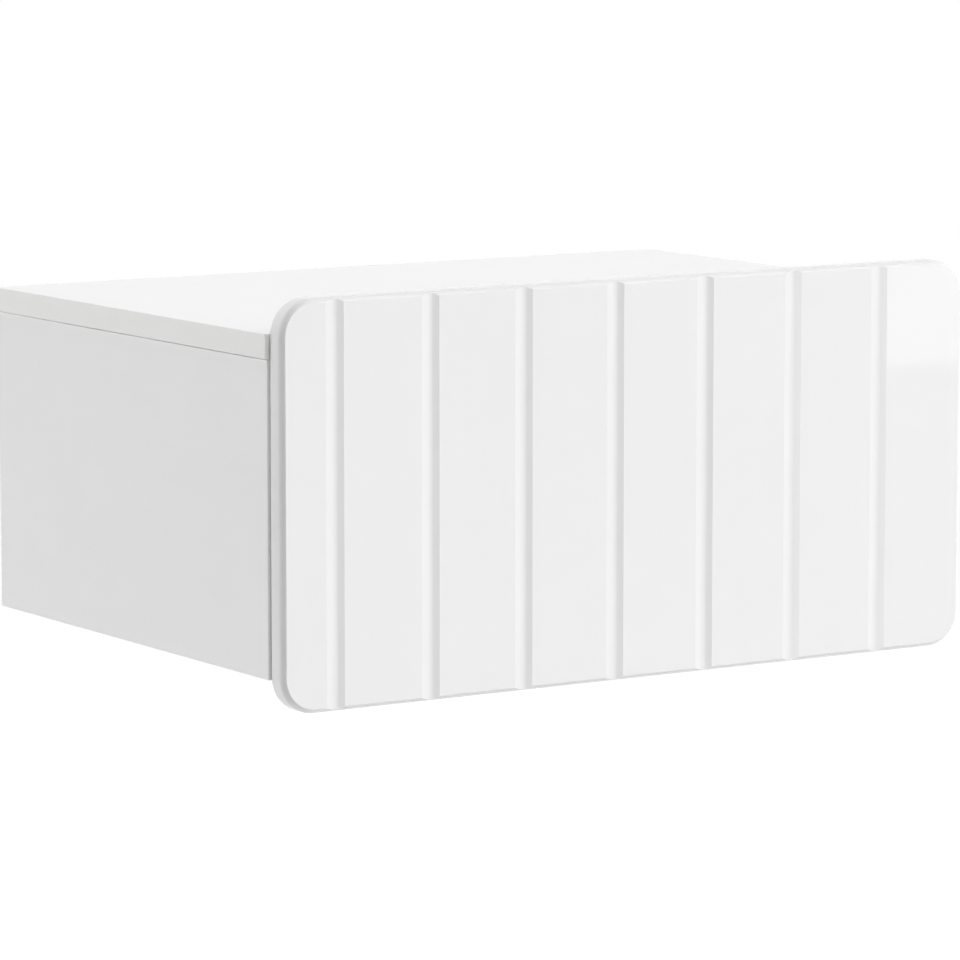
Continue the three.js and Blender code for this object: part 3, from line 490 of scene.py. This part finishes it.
# Drawer front: a slab with round corners and a rounded face edge, and seven V-grooves over its whole height
frontSettings = {
    "cornerRadius": 27,
    "cornerSteps": 28,
    "edgeRadius": 6.5,  # of the arc from the sides to the face, which it meets at an arris
    "edgeDepth": 5.63,
    "edgeSteps": 12,
    "rearRadius": 0.8,
    "rearSteps": 8,
    "grooves": 7,
    "groovePitch": 79.6,
    "firstGroove": 78.7,  # middle of the first, from the right edge
    "grooveWidth": 15,
    "wallDegrees": 18,
    "bottomRadius": 10,
    "bottomSteps": 12,
    "arris": 0.3,  # sanded edge of a groove
    "arrisSteps": 2,
    "overrun": 4,  # how far a cutter stands out of the slab
    "floorGroove": (255, 6),  # half length and depth of the groove for the drawer's bottom sheet
    "floorSlack": 0.2,
    "boltBore": (3.3, 11.5),  # radius and depth of the bores for the cam bolts
    "boreSteps": 24,
    "rimReach": 0.01,  # a point this near the face's plane lies on it
    "weld": 0.002,
    "sharpDegrees": 14,
}


def solidBlock(bm, low, high):
    made = bmesh.ops.create_cube(bm, size=1)
    size = Vector(high) - Vector(low)
    bmesh.ops.scale(bm, verts=made["verts"], vec=size)
    bmesh.ops.translate(bm, verts=made["verts"], vec=(Vector(high) + Vector(low)) / 2)
    return made["verts"]


def edgesAlong(bm, axis):
    runs = ((edge, edge.verts[1].co - edge.verts[0].co) for edge in bm.edges)
    straight = 0.99  # share of its length that an edge runs along the axis
    return [edge for edge, run in runs if abs(run[axis]) > straight * run.length]


def grooveCutters(settings, low, high):  # wedges longer than the slab, rounded along their foot
    bm = bmesh.new()
    slope = math.tan(math.radians(settings["wallDegrees"]))
    depth = settings["grooveWidth"] / 2 * slope * mm
    over = settings["overrun"] * mm
    mouth = settings["grooveWidth"] / 2 * mm + over / slope
    for i in range(settings["grooves"]):
        x = high.x - (settings["firstGroove"] + i * settings["groovePitch"]) * mm
        outline = [(x - mouth, low.y - over), (x + mouth, low.y - over), (x, low.y + depth)]
        start = [bm.verts.new((px, py, low.z - over)) for px, py in outline]
        cap = bm.faces.new(start)
        made = bmesh.ops.extrude_face_region(bm, geom=[cap])
        moved = [item for item in made["geom"] if isinstance(item, bmesh.types.BMVert)]
        bmesh.ops.translate(bm, verts=moved, vec=(0, 0, high.z - low.z + 2 * over))
    bottoms = [edge for edge in edgesAlong(bm, 2) if edge.verts[0].co.y > low.y]
    roundEdges(bm, bottoms, settings["bottomRadius"] * slope, settings["bottomSteps"])
    bmesh.ops.recalc_face_normals(bm, faces=bm.faces)
    for face in bm.faces:
        face.material_index = 1
    return bm


def rearCutters(settings, low, high):  # the groove that holds the bottom sheet, and the bolts' bores
    bm = bmesh.new()
    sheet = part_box("drawer_bottom")
    half, depth = settings["floorGroove"]
    slack = settings["floorSlack"] * mm
    start = (-half * mm, high.y - depth * mm, sheet[0].z - slack)
    end = (half * mm, high.y + settings["overrun"] * mm, sheet[1].z + slack)
    solidBlock(bm, start, end)
    radius, boreDepth = (length * mm for length in settings["boltBore"])
    reach = boreDepth + settings["overrun"] * mm
    for place in ("left_upper", "left_lower", "right_upper", "right_lower"):
        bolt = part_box(f"cam_bolt_front_{place}")
        middle = (bolt[0] + bolt[1]) / 2
        bore = bmesh.ops.create_cone(
            bm, cap_ends=True, segments=settings["boreSteps"], radius1=radius, radius2=radius, depth=reach,
        )["verts"]
        bmesh.ops.rotate(bm, verts=bore, cent=(0, 0, 0), matrix=Matrix.Rotation(math.radians(90), 3, "X"))
        bmesh.ops.translate(bm, verts=bore, vec=(middle.x, high.y - boreDepth + reach / 2, middle.z))
    bmesh.ops.recalc_face_normals(bm, faces=bm.faces)
    return bm


def looseObject(bm, name):
    mesh = bpy.data.meshes.new(name)
    bm.to_mesh(mesh)
    bm.free()
    made = bpy.data.objects.new(name, mesh)
    scene.collection.objects.link(made)
    return made


def putInOrder(parts, cornersOf):  # by place, because the order of a cut mesh changes from run to run
    ranked = sorted(parts, key=lambda part: sorted(tuple(vert.co) for vert in cornersOf(part)))
    for rank, part in enumerate(ranked):
        part.index = rank
    parts.sort()


def cutBy(body, cutters):  # the body's mesh with the cutters taken out; the cutters are used up
    for cutter in cutters:
        cutting = body.modifiers.new("cut", "BOOLEAN")
        cutting.operation = "DIFFERENCE"
        cutting.solver = "EXACT"
        cutting.material_mode = "INDEX"
        cutting.object = cutter
    graph = bpy.context.evaluated_depsgraph_get()
    bm = bmesh.new()
    bm.from_mesh(body.evaluated_get(graph).to_mesh())
    putInOrder(bm.verts, lambda vert: [vert])
    putInOrder(bm.edges, lambda edge: edge.verts)
    putInOrder(bm.faces, lambda face: face.verts)
    for used in (body, *cutters):
        bpy.data.objects.remove(used)
    return bm


def roundRim(bm, y, reach, radius, steps):
    rim = [edge for edge in bm.edges if all(abs(vert.co.y - y) < reach * mm for vert in edge.verts)]
    roundEdges(bm, rim, radius, steps)


def frontSlab(settings, low, high):  # rounded too far in front, then planed back to the face
    bm = bmesh.new()
    planed = (settings["edgeRadius"] - settings["edgeDepth"]) * mm
    solidBlock(bm, low - Vector((0, planed, 0)), high)
    bmesh.ops.recalc_face_normals(bm, faces=bm.faces)
    roundEdges(bm, edgesAlong(bm, 1), settings["cornerRadius"], settings["cornerSteps"])
    reach = settings["rimReach"]
    roundRim(bm, low.y - planed, reach, settings["edgeRadius"], settings["edgeSteps"])
    roundRim(bm, high.y, reach, settings["rearRadius"], settings["rearSteps"])
    everything = [*bm.verts, *bm.edges, *bm.faces]
    cut = bmesh.ops.bisect_plane(
        bm, geom=everything, plane_co=low, plane_no=(0, -1, 0), clear_outer=True,
    )
    rim = [item for item in cut["geom_cut"] if isinstance(item, bmesh.types.BMEdge)]
    bmesh.ops.edgeloop_fill(bm, edges=rim)
    bmesh.ops.recalc_face_normals(bm, faces=bm.faces)
    return bm


def drawerFront(settings):
    low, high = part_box("drawer_front")
    slab = looseObject(frontSlab(settings, low, high), "front_slab")
    for _ in range(2):  # the second slot marks the faces that the groove cutters leave
        slab.data.materials.append(finish["lacquer"])
    cutters = [
        looseObject(grooveCutters(settings, low, high), "groove_cutters"),
        looseObject(rearCutters(settings, low, high), "rear_cutters"),
    ]
    bm = cutBy(slab, cutters)
    bmesh.ops.remove_doubles(bm, verts=bm.verts, dist=settings["weld"] * mm)
    rims = [edge for edge in bm.edges if len({face.material_index for face in edge.link_faces}) > 1]
    roundEdges(bm, rims, settings["arris"], settings["arrisSteps"])
    for face in bm.faces:
        face.material_index = 0
    piece = finishPiece(
        bm, "grooved_front", "drawer", [finish["lacquer"]], settings["sharpDegrees"],
    )
    evenShading(piece)
    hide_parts("drawer_front")


drawerFront(frontSettings)
print("drawer front made")


# Fittings and runners: merged copies with smooth curves
fittingSettings = {
    "sharpDegrees": 35,
    "finish": {  # by the start of the node's name; the first that fits counts
        "cam_bolt": "zincSteel",
        "cam_": "castZinc",
        "dowel": "beech",
        "hanger_housing": "whitePlastic",
        "hanger_hook": "zincSteel",
        "wall_plate": "zincSteel",
        "runner": "zincSteel",
        "outer_ball_cage": "zincSteel",
        "inner_ball_cage": "zincSteel",
        "release_lever": "blackPlastic",
        "bumper": "silicone",
    },
    "sheets": {"back_panel": "backSheet", "drawer_bottom": "drawerFloor"},  # these keep their mesh
}


def fitting(node, settings):
    start = next((start for start in settings["finish"] if node.startswith(start)), None)
    if start:
        look = finish[settings["finish"][start]]
        piece = finishPiece(
            mergedCopy(node), f"{node}_piece", bodyOf(node), [look], settings["sharpDegrees"],
        )
        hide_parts(node)


for node in nodes:
    fitting(node, fittingSettings)
for node, word in fittingSettings["sheets"].items():
    for slot in nodes[node].material_slots:
        slot.material = finish[word]
print("fittings made")


# Bearing balls: two rows in each cage, polished, over the coarse ones of the frame
ballSettings = {
    "radius": 2.02,
    "inRow": 6,
    "rowFromEdge": 1.732,  # row's middle line inside the cage's upper and lower edges
    "fineness": 3,
    "sharpDegrees": 60,
}


def ballRows(cage, sign, settings):
    low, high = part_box(cage)
    radius = settings["radius"] * mm
    x = min((low.x, high.x), key=abs) + sign * radius
    pitch = (high.y - low.y) / settings["inRow"]
    inside = settings["rowFromEdge"] * mm
    bm = bmesh.new()
    for i in range(settings["inRow"]):
        for z in (low.z + inside, high.z - inside):
            ball = bmesh.ops.create_icosphere(bm, subdivisions=settings["fineness"], radius=radius)["verts"]
            bmesh.ops.translate(bm, verts=ball, vec=(x, low.y + (i + 0.5) * pitch, z))
    finishPiece(
        bm, f"{cage}_balls", bodyOf(cage), [finish["bearingSteel"]], settings["sharpDegrees"],
    )


for hand, sign in hands.items():
    for row in ("outer", "inner"):
        ballRows(f"{row}_ball_cage_{hand}", sign, ballSettings)
print("balls made")


# Screws: turned bodies with a cross recess and a rolled thread, drawn upright in a surface at height 0
screwSettings = {
    "sheet": 1.2,  # of the runners
    "holeFromEnd": 37,  # of the runners
    "hangerSpread": 13,  # from the middle of a hanger to its screws
    "steps": 28,
    "recess": (3.0, 0.9, 1.3),  # length, width and depth of the cross
    "recessTaper": 0.45,
    "threadHeight": 0.4,
    "threadRoot": 0.1,  # sunk into the core
    "threadHalf": 0.4,  # half the width of the ridge at its foot
    "threadPitch": 1.6,
    "threadSteps": 12,  # for one turn
    "sharpDegrees": 35,
    "kinds": {  # outline as (radius, height); the thread runs on a core between two heights
        "pan": {
            "outline": [
                (0, 2), (1.5, 1.94), (2.7, 1.55), (3.4, 0.8), (3.5, 0), (1.7, 0), (1.7, -1.4),
                (1.25, -1.9), (1.25, -8.6), (0.15, -11), (0, -11),
            ],
            "core": (1.25, -2.2, -8.6),
        },
        "flat": {
            "outline": [
                (0, 0), (2.2, 0), (1.6, -1.15), (1.25, -1.7), (1.25, -8.6), (0.15, -11), (0, -11),
            ],
            "core": (1.25, -2.0, -8.6),
        },
        "hanger": {
            "outline": [(0, 0), (2.7, 0), (3, -0.3), (3, -2.2), (2, -2.2), (2, -12.6), (0, -12.6)],
            "core": (1.9, -4, -12),
        },
    },
}


def turnedBody(outline, steps):
    bm = bmesh.new()
    points = [bm.verts.new((radius * mm, 0, height * mm)) for radius, height in outline]
    line = [bm.edges.new(pair) for pair in zip(points, points[1:])]
    bmesh.ops.spin(
        bm, geom=points + line, cent=(0, 0, 0), axis=(0, 0, 1), angle=math.tau, steps=steps, use_merge=True,
    )
    bmesh.ops.remove_doubles(bm, verts=bm.verts, dist=meshSettings["weld"] * mm)
    bmesh.ops.recalc_face_normals(bm, faces=bm.faces)
    return bm


def slotCutter(settings, across, along, top):  # one arm of the cross, narrower at its foot
    bm = bmesh.new()
    depth = settings["recess"][2]
    low, high = (Vector((across / 2, along / 2, depth)) * side * mm for side in (-1, 1))
    foot = [vert for vert in solidBlock(bm, low, high) if vert.co.z < 0]
    bmesh.ops.scale(bm, verts=foot, vec=(settings["recessTaper"], settings["recessTaper"], 1))
    bmesh.ops.translate(bm, verts=bm.verts, vec=(0, 0, top * mm))
    bmesh.ops.recalc_face_normals(bm, faces=bm.faces)
    return bm


def threadRidge(settings, core):  # a three-sided ridge wound round the core
    radius, upper, lower = core
    foot, crest = radius - settings["threadRoot"], radius + settings["threadHeight"]
    half = settings["threadHalf"]
    turns = (upper - lower) / settings["threadPitch"]
    steps = round(turns * settings["threadSteps"])
    bm = bmesh.new()
    outline = [(foot, upper - half), (crest, upper), (foot, upper + half)]
    section = bm.faces.new([bm.verts.new((r * mm, 0, z * mm)) for r, z in outline])
    rise = (0, 0, (lower - upper) * mm / steps)
    geom = [section, *section.edges, *section.verts]
    bmesh.ops.spin(
        bm, geom=geom, cent=(0, 0, 0), axis=(0, 0, 1), angle=math.tau * turns, dvec=rise, steps=steps,
        use_merge=False,
    )
    bmesh.ops.recalc_face_normals(bm, faces=bm.faces)
    return bm


def screwMesh(settings, kind):
    style = settings["kinds"][kind]
    body = looseObject(turnedBody(style["outline"], settings["steps"]), "screw_body")
    top = style["outline"][0][1]
    length, width, _ = settings["recess"]
    slots = [slotCutter(settings, *arm, top) for arm in ((length, width), (width, length))]
    bm = cutBy(body, [looseObject(slot, "screw_slot") for slot in slots])
    ridge = threadRidge(settings, style["core"])
    wound = bpy.data.meshes.new("screw_thread")
    ridge.to_mesh(wound)
    ridge.free()
    bm.from_mesh(wound)
    mesh = bpy.data.meshes.new("screw")
    bm.to_mesh(mesh)
    bm.free()
    return mesh


def screws(name, body, settings, kind, places, out):  # heads facing out, seated at the places
    single = screwMesh(settings, kind)
    turn = Vector(out).to_track_quat("Z", "Y").to_matrix().to_4x4()
    bm = bmesh.new()
    for place in places:
        made = len(bm.verts)
        bm.from_mesh(single)
        bm.verts.ensure_lookup_table()
        bmesh.ops.transform(bm, matrix=Matrix.Translation(place) @ turn, verts=bm.verts[made:])
    look = finish["zincSteel"]
    finishPiece(bm, name, body, [look], settings["sharpDegrees"])


def runnerScrews(hand, sign, settings):
    sheet, fromEnd = settings["sheet"] * mm, settings["holeFromEnd"] * mm
    low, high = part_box(f"runner_drawer_member_{hand}")
    axis = (low.z + high.z) / 2
    x = min((low.x, high.x), key=abs) + sign * sheet
    places = [Vector((x, y, axis)) for y in (high.y - fromEnd, low.y + fromEnd)]
    screws(f"drawer_runner_screws_{hand}", "drawer", settings, "pan", places, (sign, 0, 0))
    low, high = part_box(f"runner_cabinet_member_{hand}")
    x = max((low.x, high.x), key=abs) - sign * sheet
    along = (high.y - fromEnd, (low.y + high.y) / 2, low.y + fromEnd)
    places = [Vector((x, y, axis)) for y in along]
    screws(f"cabinet_runner_screws_{hand}", "carcass", settings, "flat", places, (-sign, 0, 0))


def hangerScrews(hand, settings):  # one draws the hook in, the other lifts it
    low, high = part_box(f"hanger_housing_{hand}")
    middle = (low + high) / 2
    spread = Vector((0, 0, settings["hangerSpread"] * mm))
    face = Vector((middle.x, low.y, middle.z))
    places = [face - spread, face + spread]
    screws(f"hanger_screws_{hand}", "carcass", settings, "hanger", places, (0, -1, 0))


for hand, sign in hands.items():
    runnerScrews(hand, sign, screwSettings)
    hangerScrews(hand, screwSettings)
print("screws made")


# Studio: a pale floor under the wall-hung cabinet, soft light all round, a key light from the right
studioSettings = {
    "floorBelow": 420,  # floor under the front's lower edge
    "floorSize": 12000,
    "floorColour": "e8e8e8",
    "floorGlow": 0.32,  # light that the camera sees on the floor near the object
    "floorFades": (1500, 4000),  # between these distances it turns to the white of the background
    "lights": {  # azimuth is to the right of straight in front, seen from above
        "key": {"azimuth": 54, "elevation": 20, "distance": 20000, "size": (8300, 14000), "power": 2370},
        "top": {"azimuth": 0, "elevation": 65, "distance": 12000, "size": (5000, 5000), "power": 740},
        "fill": {"azimuth": -140, "elevation": 15, "distance": 12000, "size": (5000, 5000), "power": 874},
        "back": {"azimuth": 180, "elevation": 45, "distance": 12000, "size": (5000, 5000), "power": 195},
        "left": {"azimuth": -40, "elevation": 30, "distance": 4000, "size": (1700, 1700), "power": 10},
    },
    "mirrored": {  # softboxes that face the wall; the gloss of the front mirrors each in one place
        "upper": {"middle": (2000, -1670, 2600), "size": (2600, 2200), "power": 20},  # upper edge
        "narrow": {"middle": (195, -2320, -330), "size": (220, 680), "power": 1.06},  # right grooves
        "softbox": {"middle": (1300, -2300, -330), "size": (1400, 680), "power": 3.0},  # flat face
        "panel": {"middle": (2835, -3430, -13), "size": (700, 900), "power": 2.8},  # upper right corner
    },
}


def seenByLens(tree):  # 1 for rays that show the background: straight, mirrored or through glass
    path = addNode(tree, "ShaderNodeLightPath").outputs
    seen = addNode(tree, "ShaderNodeMath", {"operation": "MAXIMUM"}, {
        0: path["Is Camera Ray"], 1: path["Is Glossy Ray"],
    })
    return addNode(tree, "ShaderNodeMath", {"operation": "MAXIMUM"}, {
        0: seen, 1: path["Is Transmission Ray"],
    })


def addWorld():  # white to look at, but it throws no light: the softboxes do that
    world = bpy.data.worlds.new("studio")
    scene.world = world
    world.use_nodes = True
    tree = world.node_tree
    tree.nodes.clear()
    sky = addNode(tree, "ShaderNodeBackground", {}, {
        "Color": (1, 1, 1, 1), "Strength": seenByLens(tree),
    })
    addNode(tree, "ShaderNodeOutputWorld", {}, {"Surface": sky})


def addFloor(settings):
    bm = bmesh.new()
    bmesh.ops.create_grid(bm, x_segments=1, y_segments=1, size=settings["floorSize"] / 2 * mm)
    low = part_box("drawer_front")[0]
    bmesh.ops.translate(bm, verts=bm.verts, vec=(0, 0, low.z - settings["floorBelow"] * mm))
    floor = looseObject(bm, "floor")
    material, tree = newMaterial("pale_floor")
    paint = addNode(tree, "ShaderNodeBsdfDiffuse", {}, {"Color": linear(settings["floorColour"])})
    place = addNode(tree, "ShaderNodeTexCoord").outputs["Object"]
    out = addNode(tree, "ShaderNodeVectorMath", {"operation": "LENGTH"}, {0: place})
    near, far = (reach * mm for reach in settings["floorFades"])
    seen = seenByLens(tree)
    glow = addNode(tree, "ShaderNodeMath", {"operation": "MULTIPLY"}, {0: seen, 1: settings["floorGlow"]})
    shine = addNode(tree, "ShaderNodeEmission", {}, {"Strength": glow})
    lit = addNode(tree, "ShaderNodeAddShader", {}, {0: paint, 1: shine})
    faded = addNode(tree, "ShaderNodeMapRange", {}, {
        "Value": out.outputs["Value"], "From Min": near, "From Max": far, "To Max": seen,
    })
    white = addNode(tree, "ShaderNodeEmission", {}, {"Strength": 1.0})
    both = addNode(tree, "ShaderNodeMixShader", {}, {0: faded, 1: lit, 2: white})
    clear = addNode(tree, "ShaderNodeBsdfTransparent")
    underneath = addNode(tree, "ShaderNodeNewGeometry").outputs["Backfacing"]
    oneSided = addNode(tree, "ShaderNodeMixShader", {}, {0: underneath, 1: both, 2: clear})
    addNode(tree, "ShaderNodeOutputMaterial", {}, {"Surface": oneSided})
    floor.data.materials.append(material)


def addLight(name, settings, place, out, mirrored):  # a softbox that shines against the direction out
    data = bpy.data.lights.new(name, "AREA")
    data.shape = "RECTANGLE"
    data.size, data.size_y = (length * mm for length in settings["size"])
    data.energy = settings["power"]
    light = bpy.data.objects.new(name, data)
    light.location = place
    light.rotation_euler = out.to_track_quat("Z", "Y").to_euler()
    light.visible_camera = False
    light.visible_glossy = mirrored
    scene.collection.objects.link(light)


def addLights(settings):
    low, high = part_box("drawer_front")
    target = Vector((0, low.y, (low.z + high.z) / 2))
    for name, light in settings["lights"].items():
        turn, rise = math.radians(light["azimuth"]), math.radians(light["elevation"])
        level = Vector((math.sin(turn), -math.cos(turn), 0)) * math.cos(rise)
        out = level + Vector((0, 0, math.sin(rise)))
        addLight(name, light, target + out * light["distance"] * mm, out, mirrored=False)
    for name, light in settings["mirrored"].items():
        addLight(name, light, Vector(light["middle"]) * mm, Vector((0, -1, 0)), mirrored=True)


addWorld()
addFloor(studioSettings)
addLights(studioSettings)
print("studio made")
